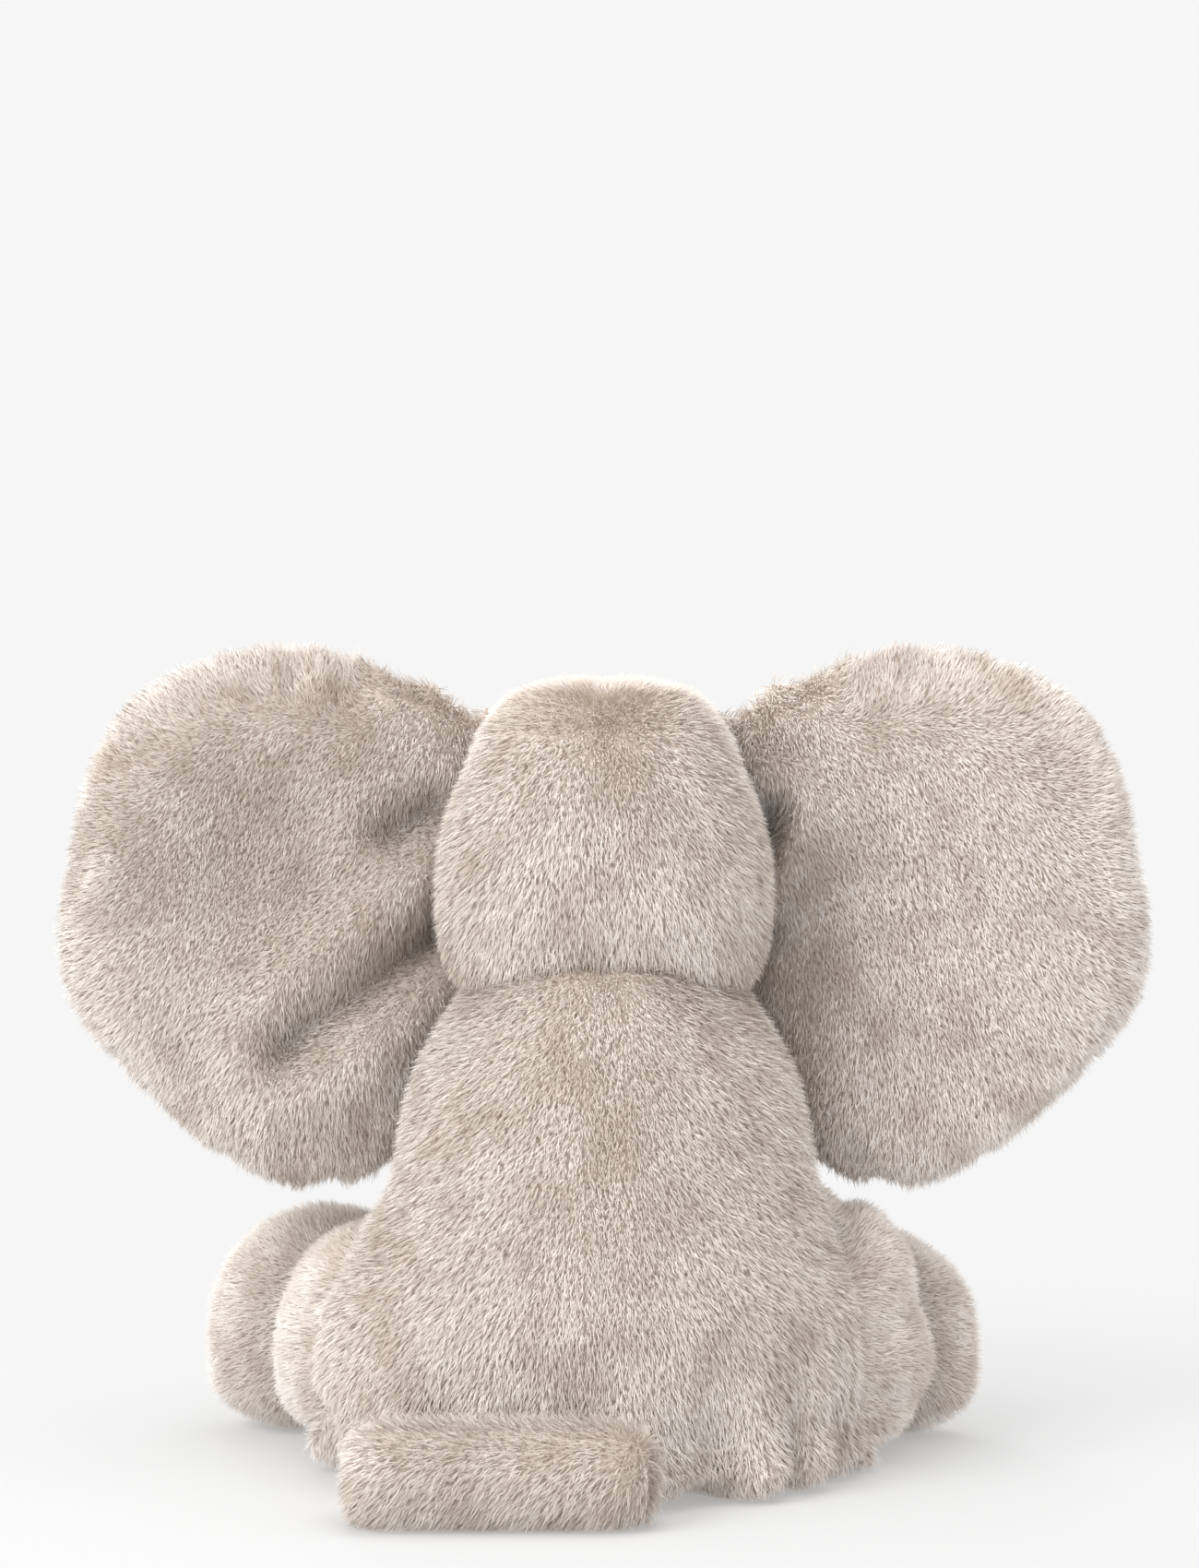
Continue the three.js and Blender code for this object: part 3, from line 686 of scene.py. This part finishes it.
def pile_tree():
    """Points spread over the skin, a strand stood on each, combed, jittered and made one mesh."""
    tree = bpy.data.node_groups.new("plush_pile", "GeometryNodeTree")
    make = Maker(tree)

    def socket(name, kind, way="INPUT"):
        return tree.interface.new_socket(name, in_out=way, socket_type=kind)

    socket("Skin", "NodeSocketGeometry")
    socket("Strands per Area", "NodeSocketFloat")
    socket("Pile Length", "NodeSocketFloat")
    socket("Strand Width", "NodeSocketFloat")
    socket("Tuft Size", "NodeSocketFloat")
    socket("Tuft Spread", "NodeSocketFloat")
    socket("Stray", "NodeSocketFloat")
    socket("Seed", "NodeSocketInt")
    socket("Strand", "NodeSocketObject")
    socket("Finish", "NodeSocketMaterial")
    socket("Pile", "NodeSocketGeometry", "OUTPUT")
    given = make.node("NodeGroupInput").outputs
    out = make.node("NodeGroupOutput")

    def named(name, kind="FLOAT"):
        node = make.node("GeometryNodeInputNamedAttribute", data_type=kind)
        node.inputs["Name"].default_value = name
        return node.outputs["Attribute"]

    def put(value, target):
        if isinstance(value, bpy.types.NodeSocket):
            make.link(value, target)
        else:
            target.default_value = value

    def math_node(kind, a, b):
        node = make.node("ShaderNodeMath", operation=kind)
        put(a, node.inputs[0])
        put(b, node.inputs[1])
        return node.outputs[0]

    def vector_node(kind, a, b=None, scale=None):
        node = make.node("ShaderNodeVectorMath", operation=kind)
        put(a, node.inputs[0])
        if b is not None:
            put(b, node.inputs[1])
        if scale is not None:
            put(scale, node.inputs["Scale"])
        return node.outputs[0]

    def random_value(low, high, offset):
        node = make.node("FunctionNodeRandomValue", data_type="FLOAT")
        node.inputs[2].default_value = low
        node.inputs[3].default_value = high
        make.link(math_node("ADD", given["Seed"], float(offset)), node.inputs["Seed"])
        return node.outputs[1]

    def random_vector(reach, offset):
        node = make.node("FunctionNodeRandomValue", data_type="FLOAT_VECTOR")
        node.inputs[0].default_value = (-reach,) * 3
        node.inputs[1].default_value = (reach,) * 3
        make.link(math_node("ADD", given["Seed"], float(offset)), node.inputs["Seed"])
        return node.outputs[0]

    spread = make.node("GeometryNodeDistributePointsOnFaces", distribute_method="RANDOM")
    make.link(given["Skin"], spread.inputs["Mesh"])
    density = math_node("MULTIPLY", given["Strands per Area"], named("cover"))
    make.link(density, spread.inputs["Density"])
    make.link(given["Seed"], spread.inputs["Seed"])

    tuft = make.node("ShaderNodeTexNoise")
    tuft.inputs["Detail"].default_value = 1.0
    make.link(make.node("GeometryNodeInputPosition").outputs[0], tuft.inputs["Vector"])
    make.link(math_node("DIVIDE", 1.0, given["Tuft Size"]), tuft.inputs["Scale"])
    lean = vector_node("SUBTRACT", tuft.outputs["Color"], (0.5, 0.5, 0.5))
    lean = vector_node("SCALE", lean, scale=given["Tuft Spread"])
    stray = vector_node("SCALE", random_vector(1, 1), scale=given["Stray"])
    upright = vector_node("SCALE", spread.outputs["Normal"], scale=named("rise"))
    grow = vector_node("ADD", upright, named("comb", "FLOAT_VECTOR"))
    grow = vector_node("ADD", grow, lean)
    grow = vector_node("ADD", grow, stray)
    facing = vector_node("ADD", spread.outputs["Normal"], random_vector(0.22, 2))
    turn = make.node("FunctionNodeAxesToRotation", primary_axis="Z", secondary_axis="X")
    make.link(grow, turn.inputs["Primary Axis"])
    make.link(facing, turn.inputs["Secondary Axis"])

    length = math_node("MULTIPLY", given["Pile Length"], named("pile"))
    length = math_node("MULTIPLY", length, random_value(0.62, 1.15, 3))
    width = math_node("MULTIPLY", given["Strand Width"], random_value(0.7, 1.3, 4))
    size = make.node("ShaderNodeCombineXYZ")
    make.link(length, size.inputs[0])
    make.link(width, size.inputs[1])
    make.link(length, size.inputs[2])

    strand = make.node("GeometryNodeObjectInfo")
    make.link(given["Strand"], strand.inputs["Object"])
    stand = make.node("GeometryNodeInstanceOnPoints")
    make.link(spread.outputs["Points"], stand.inputs["Points"])
    make.link(strand.outputs["Geometry"], stand.inputs["Instance"])
    make.link(turn.outputs[0], stand.inputs["Rotation"])
    make.link(size.outputs[0], stand.inputs["Scale"])
    tone = make.node("GeometryNodeStoreNamedAttribute", data_type="FLOAT", domain="INSTANCE")
    tone.inputs["Name"].default_value = "tone"
    make.link(stand.outputs[0], tone.inputs["Geometry"])
    make.link(random_value(0, 1, 5), tone.inputs["Value"])
    real = make.node("GeometryNodeRealizeInstances")
    make.link(tone.outputs[0], real.inputs[0])
    finish = make.node("GeometryNodeSetMaterial")
    make.link(real.outputs[0], finish.inputs["Geometry"])
    make.link(given["Finish"], finish.inputs["Material"])
    make.link(finish.outputs[0], out.inputs[0])
    return tree


def set_attribute(mesh, name, values):
    kind = "FLOAT_VECTOR" if values.ndim == 2 else "FLOAT"
    layer = mesh.attributes.get(name) or mesh.attributes.new(name, kind, "POINT")
    key = "vector" if values.ndim == 2 else "value"
    layer.data.foreach_set(key, values.astype(np.float32).ravel())


def bake_cells(mesh):
    """Gives every strand its own cell of the bake layout, so that its colour can be baked."""
    strands = len(mesh.vertices) // STRAND_VERTS
    across = math.ceil(math.sqrt(strands))
    index = np.arange(strands)
    corner = np.stack([index % across, index // across], 1)[:, None, :]
    uv = (corner + np.array(STRAND_CELL)[None, :, :]) / across
    layer = mesh.uv_layers.new(name="OFBake")
    layer.data.foreach_set("uv", uv.astype(np.float32).ravel())


def pile(name, skin, body, cover, finish, seed, **amounts):
    """One patch of pile as a plain mesh."""
    set_attribute(skin.data, "cover", cover)
    holder = bpy.data.objects.new(name, skin.data)
    bpy.context.scene.collection.objects.link(holder)
    modifier = holder.modifiers.new("pile", "NODES")
    modifier.node_group = PILE_TREE
    values = {
        "Strands per Area": STRANDS_PER_AREA * 1.0,
        "Pile Length": PILE,
        "Strand Width": STRAND_WIDTH * 1.0,
        "Tuft Size": 0.0022,
        "Tuft Spread": 0.6,
        "Stray": 0.38,
        "Seed": seed,
        "Strand": STRAND,
        "Finish": finish,
    }
    values.update(amounts)
    for item in PILE_TREE.interface.items_tree:
        if item.in_out == "INPUT" and item.name in values:
            modifier[item.identifier] = values[item.name]
    graph = bpy.context.evaluated_depsgraph_get()
    mesh = bpy.data.meshes.new_from_object(holder.evaluated_get(graph))
    holder.modifiers.clear()
    holder.data = mesh
    mesh.name = name
    for extra in ("comb", "rise", "pile", "cover"):
        if extra in mesh.attributes:
            mesh.attributes.remove(mesh.attributes[extra])
    pressed = places(mesh)
    pressed[:, 2] = np.maximum(pressed[:, 2], FLOOR_GAP)
    set_places(mesh, pressed)
    bake_cells(mesh)
    return holder


# ----------------------------------------------------------- the way it lies


def projected(vectors, normal):
    return unit(vectors - normal * (vectors * normal).sum(1, keepdims=True))


def parting_point(node, across, back, up):
    """A place on the back of a part, as shares of its box."""
    low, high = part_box(node)
    return np.array(spans(low, high, [(across, back, up)])[0])


def from_parting(place, down):
    """Away from one place on the skin, and down."""

    def lie(co):
        out = unit(co - place)
        out[:, 2] -= down
        return out

    return lie


def ear_lie(side):
    """Away from the head and down, and straight out at the rim."""
    hinge = joint_place(f"ear_{side}_flap")
    low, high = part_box(f"ear_{side}_batting")
    middle = (np.array(low) + np.array(high)) / 2
    half = (np.array(high) - np.array(low)) / 2

    def lie(co):
        flat = (co - middle) / half * [1, 0, 1]
        rim = eased((np.linalg.norm(flat, axis=1) - 0.5) / 0.5)[:, None]
        rim = rim * eased(np.abs(co[:, :1] - hinge[0]) / 0.05)
        inner = unit(co - hinge) * 0.2 + np.array([np.sign(hinge[0]) * 0.5, 0, -0.9])
        outward = unit((co - middle) * [1, 0, 1])
        return inner * (1 - 0.7 * rim) + outward * rim * 0.9

    return lie


def limb_lie(root, foot, drop):
    way = unit(np.array(foot) - np.array(root))

    def lie(co):
        out = np.tile(way, (len(co), 1))
        out[:, 2] -= drop
        return out

    return lie


def comb(name, skin, lie, lay=1.0, rise=1.6):
    """Sets which way the pile lies, how upright it stands and how long it is."""
    mesh = skin.data
    co = places(mesh)
    normal = normals(mesh)
    set_attribute(mesh, "comb", projected(lie(co), normal) * lay)
    set_attribute(mesh, "rise", np.full(len(co), rise))
    set_attribute(mesh, "pile", np.ones(len(co)))
    # shade: browner root where the pile parts, and painted shade on the crown top and in the left
    # ear's hollow.
    shade = np.zeros(len(co))
    for place, wide, deep in SHADES.get(name, []):
        gap = np.linalg.norm((co - place) / wide, axis=1)
        shade = np.maximum(shade, bump(gap, 1.0) * deep)
    set_attribute(mesh, "shade", shade)


def tree_of(mesh):
    polygons = [tuple(p.vertices) for p in mesh.polygons]
    return BVHTree.FromPolygons([tuple(p) for p in places(mesh)], polygons)


def covers(forms):
    """For each skin, 1 where it is open to the air and 0 where another soft part covers it."""
    trees = {name: tree_of(obj.data) for name, obj in forms.items()}
    found = {}
    for name, obj in forms.items():
        co = places(obj.data)
        normal = normals(obj.data)
        open_air = np.ones(len(co))
        for other, tree in trees.items():
            if other == name:
                continue
            low = places(forms[other].data).min(0) - 0.006
            high = places(forms[other].data).max(0) + 0.006
            near = np.nonzero(((co > low) & (co < high)).all(1))[0]
            for index in near:
                place, facing, _, gap = tree.find_nearest(Vector(co[index]), 0.04)
                if place is None:
                    continue
                inside = (Vector(co[index]) - place).dot(facing) < 0
                pressed = gap < 0.0035 and Vector(normal[index]).dot(facing) < -0.4
                if inside and gap > 0.003:
                    open_air[index] = 0
                elif pressed or (inside and gap > 0.0015):
                    open_air[index] = min(open_air[index], 0.4)
        found[name] = open_air
    return found


# ----------------------------------------------------------------- the staging


def camera():
    data = bpy.data.cameras.new("view")
    data.lens = 92.1
    obj = bpy.data.objects.new("view", data)
    bpy.context.scene.collection.objects.link(obj)
    obj.location = (0.0016, 1.3835, 0.30)
    obj.rotation_euler = (math.radians(90 - 2.69), 0, math.radians(180))
    data.dof.use_dof = False
    data.clip_start = 0.05
    data.clip_end = 50
    bpy.context.scene.camera = obj


def floor():
    mesh = bpy.data.meshes.new("floor")
    reach = 12.0
    mesh.from_pydata(
        [(-reach, -reach, 0), (reach, -reach, 0), (reach, reach, 0), (-reach, reach, 0)],
        [],
        [(0, 1, 2, 3)],
    )
    obj = bpy.data.objects.new("floor", mesh)
    bpy.context.scene.collection.objects.link(obj)
    mat = bpy.data.materials.new("floor_pale")
    mat.use_nodes = True
    mat.node_tree.nodes.clear()
    make = Maker(mat.node_tree)
    matte = make.node("ShaderNodeBsdfDiffuse")
    matte.inputs["Color"].default_value = (FLOOR_WHITE, FLOOR_WHITE, FLOOR_WHITE, 1)
    glow = make.node("ShaderNodeEmission")
    glow.inputs["Color"].default_value = (PALE, PALE, PALE, 1)
    where = make.node("ShaderNodeTexCoord")
    length = make.node("ShaderNodeVectorMath", operation="LENGTH")
    make.link(where.outputs["Object"], length.inputs[0])
    far = mapped(make, length.outputs["Value"], 0.12, 0.45, 0.35, 1)
    mix = make.node("ShaderNodeMixShader")
    make.link(far, mix.inputs[0])
    make.link(matte.outputs[0], mix.inputs[1])
    make.link(glow.outputs[0], mix.inputs[2])
    out = make.node("ShaderNodeOutputMaterial")
    make.link(mix.outputs[0], out.inputs["Surface"])
    mesh.materials.append(mat)
    obj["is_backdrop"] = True


def area_light(name, place, aim, size, power):
    data = bpy.data.lights.new(name, "AREA")
    data.size = size
    data.energy = power
    obj = bpy.data.objects.new(name, data)
    bpy.context.scene.collection.objects.link(obj)
    obj.location = place
    way = Vector(aim) - Vector(place)
    obj.rotation_euler = way.to_track_quat("-Z", "Y").to_euler()


def light():
    world = bpy.data.worlds.new("pale")
    world.use_nodes = True
    back = world.node_tree.nodes["Background"]
    back.inputs["Color"].default_value = (PALE, PALE, PALE, 1)
    back.inputs["Strength"].default_value = 1.0
    bpy.context.scene.world = world
    bpy.context.scene.view_settings.view_transform = "Standard"
    area_light("key", (1.1, 1.0, 1.2), (0, 0, 0.14), 0.9, 19)
    area_light("front", (0.5, -1.3, 0.9), (0, 0, 0.16), 0.35, 3)
    area_light("top", (-0.2, 0.2, 1.6), (0, 0, 0.14), 1.2, 9)
    area_light("low_left", (0.9, 0.9, 0.15), (0.1, 0, 0.04), 0.5, 1.2)
    area_light("low_right", (-0.9, 0.9, 0.15), (-0.1, 0, 0.04), 0.5, 1.2)


# --------------------------------------------------------------------- the toy


camera()
floor()
light()
STRAND = strand_form()
PILE_TREE = pile_tree()
forms = make_forms()
for name, change in SHAPES.items():
    reshape(forms[name], change)
stuff(list(forms.values()))
for name, change in CREASES.items():
    reshape(forms[name], change)

PLUSH = {
    "back_plush": pile_material(
        "plush_back",
        root=(0.69, 0.615, 0.55),
        middle=(0.89, 0.83, 0.775),
        tip=(0.925, 0.88, 0.84),
        brown=(0.63, 0.54, 0.465),
    ),
    "front_plush": pile_material(
        "plush_front",
        root=(0.70, 0.625, 0.56),
        middle=(0.90, 0.84, 0.785),
        tip=(0.93, 0.885, 0.845),
        brown=(0.65, 0.56, 0.485),
    ),
    "ear_plush": pile_material(
        "plush_ear",
        root=(0.68, 0.605, 0.54),
        middle=(0.89, 0.83, 0.78),
        tip=(0.925, 0.885, 0.85),
        brown=(0.61, 0.52, 0.445),
    ),
    "sole_plush": pile_material(
        "plush_sole",
        root=(0.62, 0.53, 0.455),
        middle=(0.86, 0.775, 0.70),
        tip=(0.97, 0.91, 0.86),
        brown=(0.66, 0.55, 0.46),
    ),
}
BACKING = backing_material("plush_backing", (0.60, 0.52, 0.45), (0.72, 0.64, 0.57))
EYE = eye_material()
WASHER = washer_material()
FIBRE = fibre_material()
POUCH = pouch_material()

LIMBS = {}
for side in ("left", "right"):
    for leg, joint, drop in (("front", "swing", 0.3), ("hind", "splay", 0.35)):
        name = f"{leg}_leg_{side}"
        low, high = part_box(f"{name}_sole")
        foot = (np.array(low) + np.array(high)) / 2
        LIMBS[name] = (joint_place(f"{name}_{joint}"), foot, drop)


def tail_lie(co):
    """Along the tail and down, which is straight down over the blunt end."""
    return np.tile([0.9, 0.1, -0.75], (len(co), 1))


LIE = {
    "torso": from_parting(parting_point("body_fill", 0.5, 0.5, 1.1), 0.5),
    "head": from_parting(parting_point("head_fill", 0.5, 0.72, 1.0), 0.45),
    "ear_left": ear_lie("left"),
    "ear_right": ear_lie("right"),
    "trunk": limb_lie((0, 0, 0), (0, -0.6, -1.0), 0.1),
    "tail": tail_lie,
}
for name, (root, foot, drop) in LIMBS.items():
    LIE[name] = limb_lie(root, foot, drop)


def ear_shades(side, spots):
    low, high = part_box(f"ear_{side}_batting")
    if side == "right":
        low.x, high.x = high.x, low.x
    return [(spans(low, high, [(a, 0.5, u)])[0], wide, deep) for a, u, wide, deep in spots]


# Places where the pile parts and shows its browner root, and places of painted shade (the top of the
# crown, the hollow in the back of the left ear): place, reach, strength.
SHADES = {
    "torso": [
        (parting_point("body_fill", 0.5, 1, 0.85), np.array([0.03, 0.05, 0.02]), 0.6),
        (parting_point("body_fill", 0.5, 1, 0.65), np.array([0.016, 0.05, 0.05]), 0.35),
    ],
    "head": [
        (parting_point("head_fill", 0.45, 1, 0.8), np.array([0.026, 0.05, 0.016]), 0.4),
        # Painted shade: darkens the top of the crown, where the top lamp lights the pile brightest.
        (parting_point("head_fill", 0.5, 0.6, 1.03), np.array([0.05, 0.03, 0.02]), 0.6),
    ],
    "tail": [
        (parting_point("tail_fill", 0.08, 1, 0.5), 0.022, 0.55),
        (parting_point("tail_fill", 0.62, 1, 0.25), 0.018, 0.5),
    ],
    "ear_left": ear_shades(
        "left",
        # The middle spot of the left ear is painted shade in the hollow of its back.
        [(0.42, 0.92, 0.012, 0.5), (0.5, 0.6, 0.034, 0.65), (0.18, 0.4, 0.016, 0.8)],
    ),
    "ear_right": ear_shades(
        "right",
        [(0.65, 0.88, 0.011, 0.6), (0.83, 0.62, 0.011, 0.5), (0.12, 0.35, 0.018, 0.6)],
    ),
}

for name, skin in forms.items():
    comb(name, skin, LIE[name])
cover = covers(forms)

STANDS_FOR = {
    "torso": ["back_left_panel", "back_right_panel", "belly_panel", "base_panel", "body_fill"],
    "head": ["head_back_left", "head_back_right", "face_panel", "head_fill"],
    "trunk": ["trunk_upper", "trunk_under", "trunk_fill"],
    "tail": ["tail_skin", "tail_fill"],
}
for side in ("left", "right"):
    ear = f"ear_{side}"
    STANDS_FOR[ear] = [f"{ear}_back", f"{ear}_front", f"{ear}_batting"]
    for leg in ("front", "hind"):
        name = f"{leg}_leg_{side}"
        STANDS_FOR[name] = [f"{name}_skin", f"{name}_sole", f"{name}_fill"]

PILE_AMOUNTS = {
    "sole_plush": {"Pile Length": 0.0032, "Tuft Spread": 0.3},
    "tail": {"Pile Length": 0.0068, "Tuft Size": 0.0035, "Tuft Spread": 0.7},
}


def bends():
    """Soft parts whose cloth crosses a joint: parent body, where the bend starts and where it ends."""
    found = {}
    for side in ("left", "right"):
        hinge = joint_place(f"ear_{side}_flap")
        out = np.array([np.sign(hinge[0]), 0, 0])
        found[f"ear_{side}"] = ("head", hinge - out * 0.006, hinge + out * 0.022)
        name = f"hind_leg_{side}"
        root, foot, _ = LIMBS[name]
        way = unit((foot - root) * [1, 1, 0])
        found[name] = ("torso", root - way * 0.01, root + way * THIGH_LENGTH[side])
    swing = joint_place("trunk_swing")
    found["trunk"] = ("head", swing + [0, 0.004, 0], swing - [0, 0.026, 0.01])
    return found


BENDS = bends()


def follow(piece, body):
    if body in BENDS:
        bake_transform(piece)
    else:
        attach(piece, body)


def torso_areas(co, normal):
    """The two back panels and the belly. The base cloth under the seat has no pile."""
    bare = (normal[:, 2] < -0.8) & (co[:, 2] < 0.004)
    behind = co[:, 1] > -0.01
    return {
        "back_left": ("back_plush", behind & (co[:, 0] > 0) & ~bare),
        "back_right": ("back_plush", behind & (co[:, 0] <= 0) & ~bare),
        "belly": ("front_plush", ~behind & ~bare),
    }


def head_areas(co, normal):
    behind = co[:, 1] > joint_place("ear_left_flap")[1]
    return {
        "back_left": ("back_plush", behind & (co[:, 0] > 0)),
        "back_right": ("back_plush", behind & (co[:, 0] <= 0)),
        "face": ("front_plush", ~behind),
    }


def ear_areas(co, normal):
    behind = normal[:, 1] > 0
    return {"back": ("ear_plush", behind), "front": ("ear_plush", ~behind)}


def leg_areas(name):
    root, foot, _ = LIMBS[name]
    way = unit(np.array(foot) - root)

    def areas(co, normal):
        sole = (normal @ way > 0.72) & ((co - foot) @ way > -0.012)
        return {"body": ("back_plush", ~sole), "sole": ("sole_plush", sole)}

    return areas


def whole(slot):
    return lambda co, normal: {"body": (slot, np.ones(len(co), bool))}


AREAS = {
    "torso": torso_areas,
    "head": head_areas,
    "trunk": whole("front_plush"),
    "tail": whole("back_plush"),
    "ear_left": ear_areas,
    "ear_right": ear_areas,
}
for name in LIMBS:
    AREAS[name] = leg_areas(name)

seed = 1
for name, skin in forms.items():
    co = places(skin.data)
    for area, (slot, weight) in AREAS[name](co, normals(skin.data)).items():
        amounts = PILE_AMOUNTS.get(name, {}) | PILE_AMOUNTS.get(slot, {})
        weight = cover[name] * weight
        piece = pile(f"{name}_{area}_pile", skin, name, weight, PLUSH[slot], seed, **amounts)
        follow(piece, name)
        seed += 17

for name, skin in forms.items():
    skin.data.materials.clear()
    skin.data.materials.append(BACKING)
    skin.data.shade_smooth()
    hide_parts(*STANDS_FOR[name])
    follow(skin, name)

for node, obj in frame["nodes"].items():
    finish = FIBRE
    if node.startswith("eye_washer"):
        finish = WASHER
    elif node.startswith("eye"):
        finish = EYE
    elif node == "pellet_pouch":
        finish = POUCH
    elif node == "neck_plug":
        finish = BACKING
    for slot in obj.material_slots:
        slot.material = finish

bpy.data.objects.remove(STRAND)

low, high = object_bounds()
